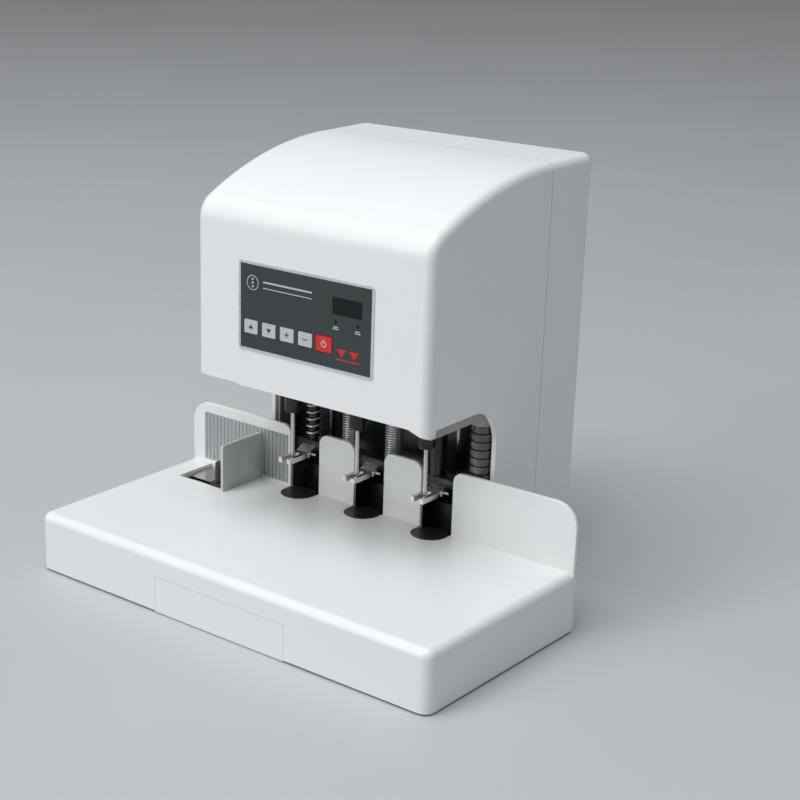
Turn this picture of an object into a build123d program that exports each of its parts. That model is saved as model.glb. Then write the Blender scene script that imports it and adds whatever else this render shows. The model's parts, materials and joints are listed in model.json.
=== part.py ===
from build123d import *
from math import cos, pi, radians, sin, sqrt
import os

# Electric three-drill hole punch. Millimetres, +X to the right seen from the front, +Y to the
# back, +Z up. The origin is on the desk, at the bottom centre of the whole object.

# ---------------------------------------------------------------- driving dimensions

# clearances
RUN = 0.05            # radial running clearance of shafts, rods and posts
FIT = 0.02            # radial clearance of seated, fixed cylinders
GAP = 0.3             # clearance between bodies that move past each other
OVER = 1.0            # how far a cutter or a fused root runs past its face

# overall; the height follows from the stack of head, motors and roof
WIDTH = 462.0         # table width
DEPTH = 370.0         # front of the table to the rear face of the inlet
SHELL_BOTTOM = 2.0    # lower edge of the pale covers above the desk
FOOT_HEIGHT = 5.0
FOOT_R = 12.0
FRONT_FOOT_SIDE = 31.0    # foot centre to the table's side
FRONT_FOOT_BACK = 25.0    # foot centre to the table's front
REAR_FOOT_SIDE = 24.5     # foot centre to the frame's outer face
REAR_FOOT_AHEAD = 33.4    # foot centre to the rear face
PLATE_T = 2.5         # base plate thickness

# table
TABLE_TOP = 58.7
TABLE_DEPTH = 220.0
TABLE_WALL = 3.0
TABLE_CORNER_R = 10.0
TABLE_EDGE_R = 8.0

# paper stop at the rear of the table
STOP_HEIGHT = 63.1    # above the table
STOP_T = 4.0
STOP_CORNER_R = 22.3
STOP_EDGE_R = 0.8
TAB_CORNER_R = 10.0

# drills
DRILL_PITCH = 80.0
DRILL_AHEAD = 19.0    # drill axis in front of the paper stop
DRILL_R = 2.2
DRILL_BORE_R = 1.4
DRILL_BITE = 0.2      # what is left between tip and pad at full travel
DRILL_REACH = 45.8    # length that shows below the chuck
DRILL_BEVEL = 0.6
DRILL_IN_CHUCK = 12.0
CHUCK_R = 8.0
CHUCK_HEIGHT = 40.0
CHUCK_CHAMFER = 1.2
SPINDLE_R = 6.0
SPINDLE_IN_CHUCK = 18.0
HEAD_TRAVEL = 42.5

# drilling pads and the anvil under them
PAD_AHEAD = 9.0       # pad axis in front of the paper stop
PAD_R = 17.6
PAD_T = 8.0
PAD_DROP = 1.0        # pad top below the table
PAD_PIN_R = 3.0
PAD_PIN_LENGTH = 4.0
ANVIL_SEAT = 0.1      # running gap under a pad
ANVIL_BELOW = 8.0     # bar thickness under the pads
ANVIL_MARGIN = 5.0
ANVIL_LEG_OUT = 18.0  # leg centre outside the outer drills
ANVIL_LEG_W = 12.0
ANVIL_LEG_D = 18.0

# press bar, forked feet and guide rods
BAR_BEHIND = 2.0      # bar behind the paper stop
BAR_DEPTH = 15.0
BAR_LIFT = 4.5        # underside of the bar above the forks
BAR_T = 10.5
BAR_HOSE_ROOM = 6.3   # from the end of the bar to the hose
PRESS_TRAVEL = 36.0
PRESS_REST = 0.8      # forks above the table at full travel
FORK_W = 14.4
FORK_GAP = 6.4
FORK_AHEAD = 12.5     # tips in front of the drill axis
FORK_THROAT_BACK = 6.0
FORK_BACK = 21.0
FORK_T = 5.0
SHANK_W = 16.0
SHANK_BACK = 16.0
SHANK_RISE = 9.7
FORK_PIN_R = 1.5
FORK_PIN_LENGTH = 5.6
LEFT_ROD_R = 5.5
RIGHT_ROD_IN = 10.0   # right rod inside the right drill
RIGHT_ROD_R = 8.5
ROD_ABOVE = 42.0      # rods above the middle plate

# springs: centre, outer radius, wire radius and pitch
WIDE_OUTER_R = 7.8
WIDE_WIRE_R = 0.9
WIDE_PITCH = 7.0
FINE_OUTER_R = 8.0
FINE_WIRE_R = 0.75
FINE_PITCH = 2.4
FINE_LEFT_X = -34.0
FINE_RIGHT_X = 18.0
SPRING_SEAT = 0.1
POINTS_PER_TURN = 24

# ribbed hose
HOSE_SIDE = 9.2       # hose axis inside the right frame
HOSE_BEHIND = 11.6    # hose axis behind the paper stop
HOSE_R = 11.0
HOSE_GROOVE_R = 9.4
HOSE_BORE_R = 8.0
HOSE_STUB = 12.5      # stub on the base plate
RIB_PITCH = 7.75
RIB_GROOVE = 1.2      # flat at the bottom of a groove
RIB_FLANK = 0.6
COLLAR_R = 12.2
COLLAR_HEIGHT = 8.0
COLLAR_DROP = 2.5     # collar top below the frame's arm
NECK_R = 8.5
NECK_HEIGHT = 12.0    # neck above the middle plate

# hood and rear cover
HOOD_HALF = 134.5
HOOD_REACH = 109.3    # hood in front of its legs
HOOD_WALL = 4.5
HOOD_ABOVE = 132.3    # lower edge of the hood above the table
HOOD_EDGE_R = 9.0
CROWN_DROP = 45.74    # fall of the crown from the flat top to the brow
CROWN_AHEAD = 74.8    # start of the crown in front of the rear face
BROW_R = 24.0
LEG_BEHIND = 8.6      # legs behind the paper stop
ARCH_R = 36.5
NOTCH_LENGTH = 51.5
NOTCH_HEIGHT = 1.3
LIP_LENGTH = 19.5
LIP_DROP = 6.5
LIP_DEPTH = 14.1
SEAM_AHEAD = 69.4     # seam in front of the rear face
SEAM_GAP = 1.0
TONGUE_OUTER = 2.4    # outer face of the tongue below the cover's face
TONGUE_LENGTH = 4.5
FLANGE_T = 1.6        # inlet flange and screw heads on the rear face

# frame inside the covers
FRAME_ROOM = 0.5      # between the frame and the hood's wall
FRAME_T = 3.0
RIGHT_ARM_DROP = 10.5     # right arm below the hood's edge
LEFT_ARM_LIFT = 4.0       # left arm above it
FRAME_ARM_BACK = 14.7     # arms behind the hood's face
FRAME_SLOPE_BACK = 125.7
FRAME_ARM_UNDER = 72.0    # top of the arms below the hood's top
FRAME_UNDER = 30.0
FRAME_LEFT_BACK = 3.4     # columns behind the hood's legs
FRAME_RIGHT_BACK = 16.4
FRAME_REAR_ROOM = 13.9
REAR_TAB_W = 30.0
SCREW_IN = 18.5           # screws inside the frame
LOW_SCREW_Z = 100.0
SCREW_R = 1.9
SCREW_HEAD_R = 4.0
SCREW_LENGTH = 12.0
STANDOFF_R = 5.0
WALL_BACK = 20.0          # inner wall behind the press bar
WALL_T = 2.0
GUARD_BACK = 2.0
GUARD_ABOVE = 19.3        # guard shelf above the table
GUARD_HOSE_ROOM = 8.3
LEFT_STRIP_IN = 2.0
RIGHT_STRIP_IN = 4.0
STRIP_W = 3.0
STRIP_DEPTH = 3.5
STRIP_LIFT = 2.0
MID_AHEAD = 1.0           # middle plate in front of the press bar
MID_DROP = 4.0            # its underside below the hood's edge
MID_T = 6.0
TOP_T = 4.0
TOP_BACK = 4.0            # top plate behind the middle plate's front
TOP_ROOM = 4.0            # above the drill motor

# moving head
POST_IN = 12.0            # posts inside the ends of the head
POST_BACK = 54.0          # posts behind the middle plate's front
POST_R = 8.0
HEAD_REST = 2.5           # head above the middle plate at full travel
HEAD_T = 12.0
HEAD_ROOM = 19.5          # ends of the head inside the frame
HEAD_AHEAD = 20.0         # head in front of the drill axis
HEAD_BACK = 18.0          # head behind the feed screw
HEAD_CORNER_R = 8.0
BOSS_R = 13.0
BOSS_HEIGHT = 24.0
ROD_CLEAR = 1.5
PULLEY_R = 14.0
PULLEY_LIFT = 6.0
PULLEY_HEIGHT = 10.0
PULLEY_HUB_R = 9.0
MOTOR_BACK = 39.0         # drill motor behind the middle plate's front
MOTOR_R = 28.0
MOTOR_PULLEY_R = 10.0
MOTOR_SHAFT_R = 3.0
MOTOR_SHAFT_LENGTH = 18.0
BRACKET_LIFT = 4.0        # motor bracket above the pulleys
BRACKET_T = 3.0
BRACKET_HALF = 40.0
BRACKET_LEG_R = 4.0
BRACKET_LEG_INSET = 7.0
MOTOR_HEIGHT = 41.0
BELT_GAP = 0.1
BELT_T = 2.0
BELT_W = 8.0
FEED_BACK = 43.0          # feed screw behind the drill motor
FEED_R = 6.0
FEED_JOURNAL_R = 4.0
FEED_SHOULDER = 4.0
NUT_R = 10.0
NUT_FLANGE_R = 15.0
NUT_FLANGE_T = 4.0
FEED_MOTOR_R = 25.0
FEED_MOTOR_HEIGHT = 48.0
FEED_SHAFT_DEPTH = 18.0
ROOF_ROOM = 32.0          # above the feed motor

# control panel
PANEL_LEFT = -80.7
PANEL_W = 156.4
PANEL_ABOVE = 36.0        # above the hood's edge
PANEL_HEIGHT = 84.0
PANEL_BORDER = 2.5
PANEL_CORNER_R = 3.0
BORDER_T = 0.8
MEMBRANE_T = 0.6
KEY_COUNT = 4
KEY_ABOVE = 16.7
KEY_HEIGHT = 12.7
KEY_W = 15.8
KEY_SIDE = 7.6            # first key from the panel's edge
KEY_PITCH = 21.5
RED_KEY_SIDE = 92.6
RED_KEY_W = 18.0
RED_KEY_HEIGHT = 14.2
KEY_PROUD = 0.8
KEY_TRAVEL = 0.6
KEY_CORNER_R = 1.0
KEY_DEPTH = 5.6
DISPLAY_SIDE = 109.9
DISPLAY_W = 33.7
DISPLAY_UNDER = 31.8      # lower edge below the panel's top
DISPLAY_HEIGHT = 15.8
LIGHT_SIDES = (4.4, 29.0)
LIGHT_UNDER = 6.7
LIGHT_R = 1.5
LIGHT_PROUD = 0.3
BOARD_STANDOFF = 1.2
BOARD_T = 1.6
BOARD_POST_R = 2.0

# chip drawer
DRAWER_HALF = 77.25
DRAWER_BOTTOM = 1.0
DRAWER_UNDER = 23.2       # top of its front below the table
DRAWER_FRONT_T = 3.0
TRAY_HALF = 73.0
TRAY_AHEAD = 21.0         # rear of the tray in front of the paper stop
TRAY_UNDER = 2.5          # top of the tray below the top of its front
TRAY_WALL = 2.0
RAIL_T = 2.0
RAIL_HEIGHT = 6.5

# ruler label
LABEL_SIDE = 16.0         # from the stop's left end
LABEL_SLOT_ROOM = 4.0     # to the left slot
LABEL_ABOVE = 2.0
LABEL_UNDER = 10.4        # below the stop's top
LABEL_RECESS = 0.5
LABEL_T = 0.4

# side guide
WELL_SIDE = 29.2          # recess from the table's left side
WELL_W = 61.3
WELL_AHEAD = 53.0
WELL_ROOM = 4.0           # from the recess to the paper stop
SLIDE_MARGIN = 3.5
SLIDE_T = 2.0
GUIDE_OUT = 1.0           # guide plate right of the recess
GUIDE_T = 3.0
GUIDE_AHEAD = 58.4
GUIDE_ABOVE = 48.1
GUIDE_CORNER_R = 2.0
GUIDE_TRAVEL = 41.0
BRACKET_AHEAD = 43.0      # bracket and clamp in front of the paper stop
BRACKET_W = 18.0
BRACKET_ABOVE = 27.3
BRACKET_UPRIGHT_T = 6.5
BRACKET_FOOT_OUT = 6.5    # foot left of the clamp
BRACKET_FOOT_T = 6.0
CLAMP_IN = 12.5           # clamp left of the recess's right edge
CLAMP_R = 2.5
CLAMP_HEAD_R = 5.0
CLAMP_HEAD_T = 3.0
CLAMP_LIFT = 2.0
KNOB_R = 6.0
KNOB_T = 18.0

# inlet and switch on the rear cover
INLET_SIDE = 54.5         # inlet from the cover's left side
INLET_Z = 60.0
INLET_W = 27.0
INLET_H = 20.0
INLET_WALL = 2.0
INLET_BODY = 24.0
INLET_DEPTH = 17.0
BLADE_W = 4.0
BLADE_T = 2.0
BLADE_LENGTH = 14.0
BLADE_SPREAD = 7.0
BLADE_RISE = 3.0
SWITCH_PITCH = 30.0       # switch beside the inlet
ROCKER_W = 13.0
ROCKER_HALF = 10.0
ROCKER_TIP = 4.5
ROCKER_WAIST = 3.0
ROCKER_BACK = 3.0
ROCKER_TILT = 8.0
WELL_WALL = 1.8
ROCKER_ROOM = 1.2
ROCKER_PIN_R = 1.5
FLANGE_MARGIN = 4.0

# ---------------------------------------------------------------- worked-out places

# front to back
TABLE_FRONT = -DEPTH / 2
TABLE_REAR = TABLE_FRONT + TABLE_DEPTH
STOP_FRONT = TABLE_REAR - STOP_T
REAR_FACE = DEPTH / 2 - FLANGE_T
REAR_INNER = REAR_FACE - HOOD_WALL
DRILL_Y = STOP_FRONT - DRILL_AHEAD
PAD_Y = STOP_FRONT - PAD_AHEAD
BAR_FRONT = TABLE_REAR + BAR_BEHIND
BAR_REAR = BAR_FRONT + BAR_DEPTH
BAR_Y = BAR_FRONT + BAR_DEPTH / 2
FORK_FRONT = DRILL_Y - FORK_AHEAD
FORK_THROAT = DRILL_Y + FORK_THROAT_BACK
FORK_REAR = DRILL_Y + FORK_BACK
SHANK_START = DRILL_Y + SHANK_BACK
HOSE_Y = TABLE_REAR + HOSE_BEHIND
LEG_FRONT = TABLE_REAR + LEG_BEHIND
HOOD_FRONT = LEG_FRONT - HOOD_REACH
CROWN_Y = REAR_FACE - CROWN_AHEAD
CROWN_R = ((CROWN_Y - HOOD_FRONT) ** 2 + CROWN_DROP ** 2) / CROWN_DROP / 2
SEAM_Y = REAR_FACE - SEAM_AHEAD
FRAME_ARM_FRONT = HOOD_FRONT + FRAME_ARM_BACK
FRAME_TOP_FRONT = HOOD_FRONT + FRAME_SLOPE_BACK
FRAME_LEFT_FRONT = LEG_FRONT + FRAME_LEFT_BACK
FRAME_RIGHT_FRONT = LEG_FRONT + FRAME_RIGHT_BACK
FRAME_REAR = REAR_INNER - FRAME_REAR_ROOM
FRAME_PLATE_REAR = FRAME_REAR - FRAME_T
WALL_FRONT = BAR_REAR + WALL_BACK
GUARD_FRONT = BAR_REAR + GUARD_BACK
MID_FRONT = BAR_FRONT - MID_AHEAD
TOP_FRONT = MID_FRONT + TOP_BACK
POST_Y = MID_FRONT + POST_BACK
MOTOR_Y = MID_FRONT + MOTOR_BACK
FEED_Y = MOTOR_Y + FEED_BACK
HEAD_FRONT = DRILL_Y - HEAD_AHEAD
HEAD_REAR = FEED_Y + HEAD_BACK
FRONT_FOOT_Y = TABLE_FRONT + FRONT_FOOT_BACK
REAR_FOOT_Y = REAR_FACE - REAR_FOOT_AHEAD
TRAY_REAR = STOP_FRONT - TRAY_AHEAD
WELL_FRONT = STOP_FRONT - WELL_AHEAD
WELL_REAR = STOP_FRONT - WELL_ROOM
GUIDE_FRONT = STOP_FRONT - GUIDE_AHEAD
GUIDE_Y = STOP_FRONT - BRACKET_AHEAD
BORDER_FACE = HOOD_FRONT - BORDER_T
MEMBRANE_FACE = HOOD_FRONT - MEMBRANE_T
BOARD_FACE = HOOD_FRONT + HOOD_WALL + BOARD_STANDOFF
ROCKER_Y = REAR_FACE - ROCKER_TIP

# side to side
DRILL_XS = (-DRILL_PITCH, 0.0, DRILL_PITCH)
SIDES = ("left", "middle", "right")
SLOT_R = PAD_R + GAP
FRAME_OUTER = HOOD_HALF - HOOD_WALL - FRAME_ROOM
FRAME_INNER = FRAME_OUTER - FRAME_T
FRONT_FOOT_X = WIDTH / 2 - FRONT_FOOT_SIDE
REAR_FOOT_X = FRAME_OUTER - REAR_FOOT_SIDE
HOSE_X = FRAME_INNER - HOSE_SIDE
SCREW_X = FRAME_INNER - SCREW_IN
BAR_HALF = HOSE_X - HOSE_R - BAR_HOSE_ROOM
GUARD_RIGHT = HOSE_X - HOSE_R - GUARD_HOSE_ROOM
HEAD_HALF = FRAME_INNER - HEAD_ROOM
POST_X = HEAD_HALF - POST_IN
LEFT_ROD_X = -DRILL_PITCH
RIGHT_ROD_X = DRILL_PITCH - RIGHT_ROD_IN
STRIP_XS = (-DRILL_PITCH + LEFT_STRIP_IN, DRILL_PITCH - RIGHT_STRIP_IN)
ANVIL_LEG_X = DRILL_PITCH + ANVIL_LEG_OUT
NOTCH_X = -HOOD_HALF + NOTCH_LENGTH
LIP_START = HOOD_HALF - LIP_LENGTH
PANEL_RIGHT = PANEL_LEFT + PANEL_W
KEY_LEFTS = [PANEL_LEFT + KEY_SIDE + n * KEY_PITCH for n in range(KEY_COUNT)]
RED_KEY_LEFT = PANEL_LEFT + RED_KEY_SIDE
DISPLAY_LEFT = PANEL_LEFT + DISPLAY_SIDE
DISPLAY_RIGHT = DISPLAY_LEFT + DISPLAY_W
LIGHT_XS = [DISPLAY_LEFT + side for side in LIGHT_SIDES]
LABEL_LEFT = -WIDTH / 2 + LABEL_SIDE
LABEL_RIGHT = -DRILL_PITCH - SLOT_R - LABEL_SLOT_ROOM
WELL_LEFT = -WIDTH / 2 + WELL_SIDE
WELL_RIGHT = WELL_LEFT + WELL_W
GUIDE_X = WELL_RIGHT + GUIDE_OUT      # left face of the guide plate
CLAMP_X = WELL_RIGHT - CLAMP_IN
BRACKET_FOOT_LEFT = CLAMP_X - BRACKET_FOOT_OUT
INLET_X = -HOOD_HALF + INLET_SIDE
SWITCH_X = INLET_X + SWITCH_PITCH

# bottom to top
PLATE_TOP = FOOT_HEIGHT + PLATE_T
TABLE_UNDER = TABLE_TOP - TABLE_WALL
STOP_TOP = TABLE_TOP + STOP_HEIGHT
PAD_TOP = TABLE_TOP - PAD_DROP
PAD_BOTTOM = PAD_TOP - PAD_T
SLOT_BOTTOM = PAD_BOTTOM - GAP
DRAWER_TOP = TABLE_TOP - DRAWER_UNDER
TRAY_BOTTOM = PLATE_TOP + GAP
TRAY_TOP = DRAWER_TOP - TRAY_UNDER
SLIDE_TOP = TABLE_UNDER
SLIDE_BOTTOM = SLIDE_TOP - SLIDE_T
GUIDE_TOP = TABLE_TOP + GUIDE_ABOVE
BRACKET_TOP = TABLE_TOP + BRACKET_ABOVE
LABEL_BOTTOM = TABLE_TOP + LABEL_ABOVE
LABEL_TOP = STOP_TOP - LABEL_UNDER
GUARD_TOP = TABLE_TOP + GUARD_ABOVE
DRILL_TIP = PAD_TOP + HEAD_TRAVEL + DRILL_BITE
CHUCK_BOTTOM = DRILL_TIP + DRILL_REACH
CHUCK_TOP = CHUCK_BOTTOM + CHUCK_HEIGHT
FORK_BOTTOM = TABLE_TOP + PRESS_TRAVEL + PRESS_REST
SHANK_TOP = FORK_BOTTOM + SHANK_RISE
BAR_BOTTOM = FORK_BOTTOM + BAR_LIFT
BAR_TOP = BAR_BOTTOM + BAR_T
HOOD_BOTTOM = TABLE_TOP + HOOD_ABOVE
RIGHT_ARM_BOTTOM = HOOD_BOTTOM - RIGHT_ARM_DROP
LEFT_ARM_BOTTOM = HOOD_BOTTOM + LEFT_ARM_LIFT
MID_BOTTOM = HOOD_BOTTOM - MID_DROP
MID_TOP = MID_BOTTOM + MID_T
ROD_TOP = MID_TOP + ROD_ABOVE
HOSE_BOTTOM = PLATE_TOP + HOSE_STUB
COLLAR_TOP = RIGHT_ARM_BOTTOM - COLLAR_DROP
HOSE_TOP = COLLAR_TOP - COLLAR_HEIGHT
NECK_TOP = MID_TOP + NECK_HEIGHT
HEAD_BOTTOM = MID_TOP + HEAD_TRAVEL + HEAD_REST
HEAD_TOP = HEAD_BOTTOM + HEAD_T
PULLEY_BOTTOM = HEAD_TOP + PULLEY_LIFT
PULLEY_TOP = PULLEY_BOTTOM + PULLEY_HEIGHT
BRACKET_BOTTOM = PULLEY_TOP + BRACKET_LIFT
MOTOR_BOTTOM = BRACKET_BOTTOM + BRACKET_T
TOP_BOTTOM = MOTOR_BOTTOM + MOTOR_HEIGHT + TOP_ROOM
HEIGHT = TOP_BOTTOM + TOP_T + FEED_MOTOR_HEIGHT + ROOF_ROOM
FRAME_TOP = HEIGHT - FRAME_UNDER
FRAME_ARM_TOP = HEIGHT - FRAME_ARM_UNDER
SCREW_ZS = (LOW_SCREW_Z, FRAME_ARM_TOP)
PANEL_BOTTOM = HOOD_BOTTOM + PANEL_ABOVE
PANEL_TOP = PANEL_BOTTOM + PANEL_HEIGHT
KEY_BOTTOM = PANEL_BOTTOM + KEY_ABOVE
KEY_MID_Z = KEY_BOTTOM + KEY_HEIGHT / 2
DISPLAY_BOTTOM = PANEL_TOP - DISPLAY_UNDER
DISPLAY_TOP = DISPLAY_BOTTOM + DISPLAY_HEIGHT
LIGHT_Z = DISPLAY_BOTTOM - LIGHT_UNDER


# ---------------------------------------------------------------- helpers

def block(x0, x1, y0, y1, z0, z1):
    """A box given by its two corners."""
    return Pos((x0 + x1) / 2, (y0 + y1) / 2, (z0 + z1) / 2) * Box(x1 - x0, y1 - y0, z1 - z0)


def post(x, y, radius, z0, z1):
    """An upright cylinder."""
    return Pos(x, y, (z0 + z1) / 2) * Cylinder(radius, z1 - z0)


def rod_x(x0, x1, y, z, radius):
    """A cylinder along X."""
    return Pos((x0 + x1) / 2, y, z) * Rot(0, 90, 0) * Cylinder(radius, x1 - x0)


def rod_y(x, y0, y1, z, radius):
    """A cylinder along Y."""
    return Pos(x, (y0 + y1) / 2, z) * Rot(90, 0, 0) * Cylinder(radius, y1 - y0)


def side_prism(points, x0, x1):
    """A Y-Z outline, extruded from x0 to x1."""
    outline = Plane.YZ.offset(x0) * make_face(Polyline(*points, close=True))
    return extrude(outline, amount=x1 - x0)


def front_prism(points, y0, y1):
    """An X-Z outline, extruded from y0 to y1."""
    outline = Plane.XZ.offset(-y1) * make_face(Polyline(*points, close=True))
    return extrude(outline, amount=y1 - y0)


def rounded_plate_y(x0, x1, z0, z1, y0, y1, radius):
    """An upright plate facing Y, with rounded corners."""
    face = Pos((x0 + x1) / 2, (z0 + z1) / 2) * RectangleRounded(x1 - x0, z1 - z0, radius)
    return extrude(Plane.XZ.offset(-y1) * face, amount=y1 - y0)


def save(name, shape):
    """Writes one sub-part."""
    export_step(shape, f"parts/{name}.step")


# ---------------------------------------------------------------- base

def table_body(inset, bottom, rear):
    """The rounded table block, drawn in by a wall thickness."""
    half = WIDTH / 2 - inset
    body = block(-half, half, TABLE_FRONT + inset, rear, bottom, TABLE_TOP - inset)
    uprights = body.edges().filter_by(Axis.Z).group_by(Axis.Y)[0]
    body = fillet(uprights, TABLE_CORNER_R - inset)
    rim = body.faces().sort_by(Axis.Z)[-1].edges().sort_by(Axis.Y)[:-1]
    return fillet(rim, TABLE_EDGE_R - inset)


def paper_stop():
    """The upright rear panel with three open-top slots."""
    half = WIDTH / 2
    points = [(-half, SHELL_BOTTOM), (half, SHELL_BOTTOM), (half, STOP_TOP)]
    for x in reversed(DRILL_XS):
        points += [(x + SLOT_R, STOP_TOP), (x + SLOT_R, SLOT_BOTTOM)]
        points += [(x - SLOT_R, SLOT_BOTTOM), (x - SLOT_R, STOP_TOP)]
    points.append((-half, STOP_TOP))
    face = make_face(Polyline(*points, close=True))
    crown = face.vertices().group_by(Axis.Y)[-1].sort_by(Axis.X)
    ends = [crown[0], crown[-1]]
    face = fillet(ends, STOP_CORNER_R)
    tabs = face.vertices().group_by(Axis.Y)[-1].filter_by(
        lambda v: min(abs(abs(v.X - x) - SLOT_R) for x in DRILL_XS) < STOP_EDGE_R
    )
    face = fillet(tabs, TAB_CORNER_R)
    panel = extrude(Plane.XZ.offset(-TABLE_REAR) * face, amount=STOP_T)
    faces = panel.faces().filter_by(Axis.Y)
    outline = faces.edges().filter_by(lambda e: e.center().Z > SLOT_BOTTOM + STOP_T)
    return fillet(outline, STOP_EDGE_R)


def pad_pocket(x, bottom):
    """The U-shaped room of one pad, open to the rear."""
    half_round = post(x, PAD_Y, SLOT_R, bottom, TABLE_TOP + OVER)
    return half_round + block(x - SLOT_R, x + SLOT_R, PAD_Y, TABLE_REAR + OVER, bottom, TABLE_TOP + OVER)


def base_cover():
    shell = table_body(0, SHELL_BOTTOM, TABLE_REAR)
    shell -= table_body(TABLE_WALL, SHELL_BOTTOM - OVER, STOP_FRONT)
    shell += paper_stop()
    for x in DRILL_XS:
        shell -= pad_pocket(x, SLOT_BOTTOM)
    shell -= block(WELL_LEFT, WELL_RIGHT, WELL_FRONT, WELL_REAR, TABLE_UNDER - OVER, TABLE_TOP + OVER)
    shell -= block(
        -DRAWER_HALF - GAP, DRAWER_HALF + GAP,
        TABLE_FRONT - OVER, TABLE_FRONT + TABLE_WALL + OVER,
        SHELL_BOTTOM - OVER, DRAWER_TOP + GAP,
    )
    shell -= block(
        -FRAME_OUTER - GAP, FRAME_OUTER + GAP, STOP_FRONT - OVER, TABLE_REAR + OVER,
        SHELL_BOTTOM - OVER, PLATE_TOP + GAP,
    )
    shell -= block(
        LABEL_LEFT, LABEL_RIGHT, STOP_FRONT - OVER, STOP_FRONT + LABEL_RECESS,
        LABEL_BOTTOM, LABEL_TOP,
    )
    return shell


def base_plate():
    inset = TABLE_WALL + GAP
    half = WIDTH / 2 - inset
    front = TABLE_FRONT + TABLE_WALL + 1.0
    plate = block(-half, half, front, STOP_FRONT - GAP, FOOT_HEIGHT, PLATE_TOP)
    plate += block(
        -FRAME_OUTER, FRAME_OUTER, STOP_FRONT - OVER, REAR_INNER - GAP, FOOT_HEIGHT, PLATE_TOP
    )
    front_corners = plate.edges().filter_by(Axis.Z).group_by(Axis.Y)[0]
    plate = fillet(front_corners, TABLE_CORNER_R - TABLE_WALL)
    rear_corners = plate.edges().filter_by(Axis.Z).group_by(Axis.Y)[-1]
    plate = fillet(rear_corners, HOOD_EDGE_R)
    rail = TRAY_HALF + GAP
    for side in (-1, 1):
        x0, x1 = sorted((side * rail, side * (rail + RAIL_T)))
        plate += block(x0, x1, front + RAIL_T, TRAY_REAR, PLATE_TOP, PLATE_TOP + RAIL_HEIGHT)
    plate += block(
        -TRAY_HALF / 2, TRAY_HALF / 2, TRAY_REAR + GAP, TRAY_REAR + GAP + RAIL_T,
        PLATE_TOP, PLATE_TOP + RAIL_HEIGHT,
    )
    plate += post(HOSE_X, HOSE_Y, HOSE_R, PLATE_TOP, HOSE_BOTTOM)
    plate -= post(HOSE_X, HOSE_Y, HOSE_BORE_R, PLATE_TOP, HOSE_BOTTOM)
    return plate


def rubber_feet():
    places = [(side * FRONT_FOOT_X, FRONT_FOOT_Y) for side in (-1, 1)]
    places += [(side * REAR_FOOT_X, REAR_FOOT_Y) for side in (-1, 1)]
    return Compound([post(x, y, FOOT_R, 0, FOOT_HEIGHT) for x, y in places])


def anvil_bar():
    half = DRILL_PITCH + SLOT_R + ANVIL_MARGIN
    front = PAD_Y - SLOT_R - ANVIL_MARGIN
    seat = PAD_BOTTOM - ANVIL_SEAT
    bottom = seat - ANVIL_BELOW
    bar = block(-half, half, front, STOP_FRONT - GAP, bottom, TABLE_UNDER)
    for x in DRILL_XS:
        bar -= pad_pocket(x, seat)
        bar += post(x, PAD_Y, PAD_PIN_R, seat - OVER, seat + PAD_PIN_LENGTH)
    for side in (-1, 1):
        x = side * ANVIL_LEG_X
        bar += block(
            x - ANVIL_LEG_W / 2, x + ANVIL_LEG_W / 2, front, front + ANVIL_LEG_D,
            PLATE_TOP, bottom,
        )
    return bar


def pad(x):
    disc = post(x, PAD_Y, PAD_R, PAD_BOTTOM, PAD_TOP)
    return disc - post(x, PAD_Y, PAD_PIN_R + RUN, PAD_BOTTOM - OVER, PAD_BOTTOM + PAD_PIN_LENGTH)


def ruler_label():
    back = STOP_FRONT + LABEL_RECESS
    return block(
        LABEL_LEFT + GAP, LABEL_RIGHT - GAP, back - LABEL_T, back,
        LABEL_BOTTOM + GAP, LABEL_TOP - GAP,
    )


# ---------------------------------------------------------------- chip drawer

def chip_drawer():
    face_back = TABLE_FRONT + DRAWER_FRONT_T
    front = block(-DRAWER_HALF, DRAWER_HALF, TABLE_FRONT, face_back, DRAWER_BOTTOM, DRAWER_TOP)
    tray = block(-TRAY_HALF, TRAY_HALF, face_back, TRAY_REAR, TRAY_BOTTOM, TRAY_TOP)
    tray -= block(
        -TRAY_HALF + TRAY_WALL, TRAY_HALF - TRAY_WALL,
        face_back, TRAY_REAR - TRAY_WALL, TRAY_BOTTOM + TRAY_WALL, TRAY_TOP + OVER,
    )
    return front + tray


# ---------------------------------------------------------------- side guide

def slide_plate():
    plate = block(
        WELL_LEFT - SLIDE_MARGIN, WELL_RIGHT + SLIDE_MARGIN,
        WELL_FRONT - SLIDE_MARGIN, WELL_REAR + SLIDE_MARGIN, SLIDE_BOTTOM, SLIDE_TOP,
    )
    reach = CLAMP_R + GAP
    slot = block(
        CLAMP_X - GUIDE_TRAVEL, CLAMP_X, GUIDE_Y - reach, GUIDE_Y + reach,
        SLIDE_BOTTOM - OVER, SLIDE_TOP + OVER,
    )
    for x in (CLAMP_X - GUIDE_TRAVEL, CLAMP_X):
        slot += post(x, GUIDE_Y, reach, SLIDE_BOTTOM - OVER, SLIDE_TOP + OVER)
    return plate - slot


def guide_plate():
    plate = block(
        GUIDE_X, GUIDE_X + GUIDE_T, GUIDE_FRONT, STOP_FRONT - GAP,
        TABLE_TOP + GAP, GUIDE_TOP,
    )
    return fillet(plate.edges().filter_by(Axis.X).group_by(Axis.Z)[-1], GUIDE_CORNER_R)


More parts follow.
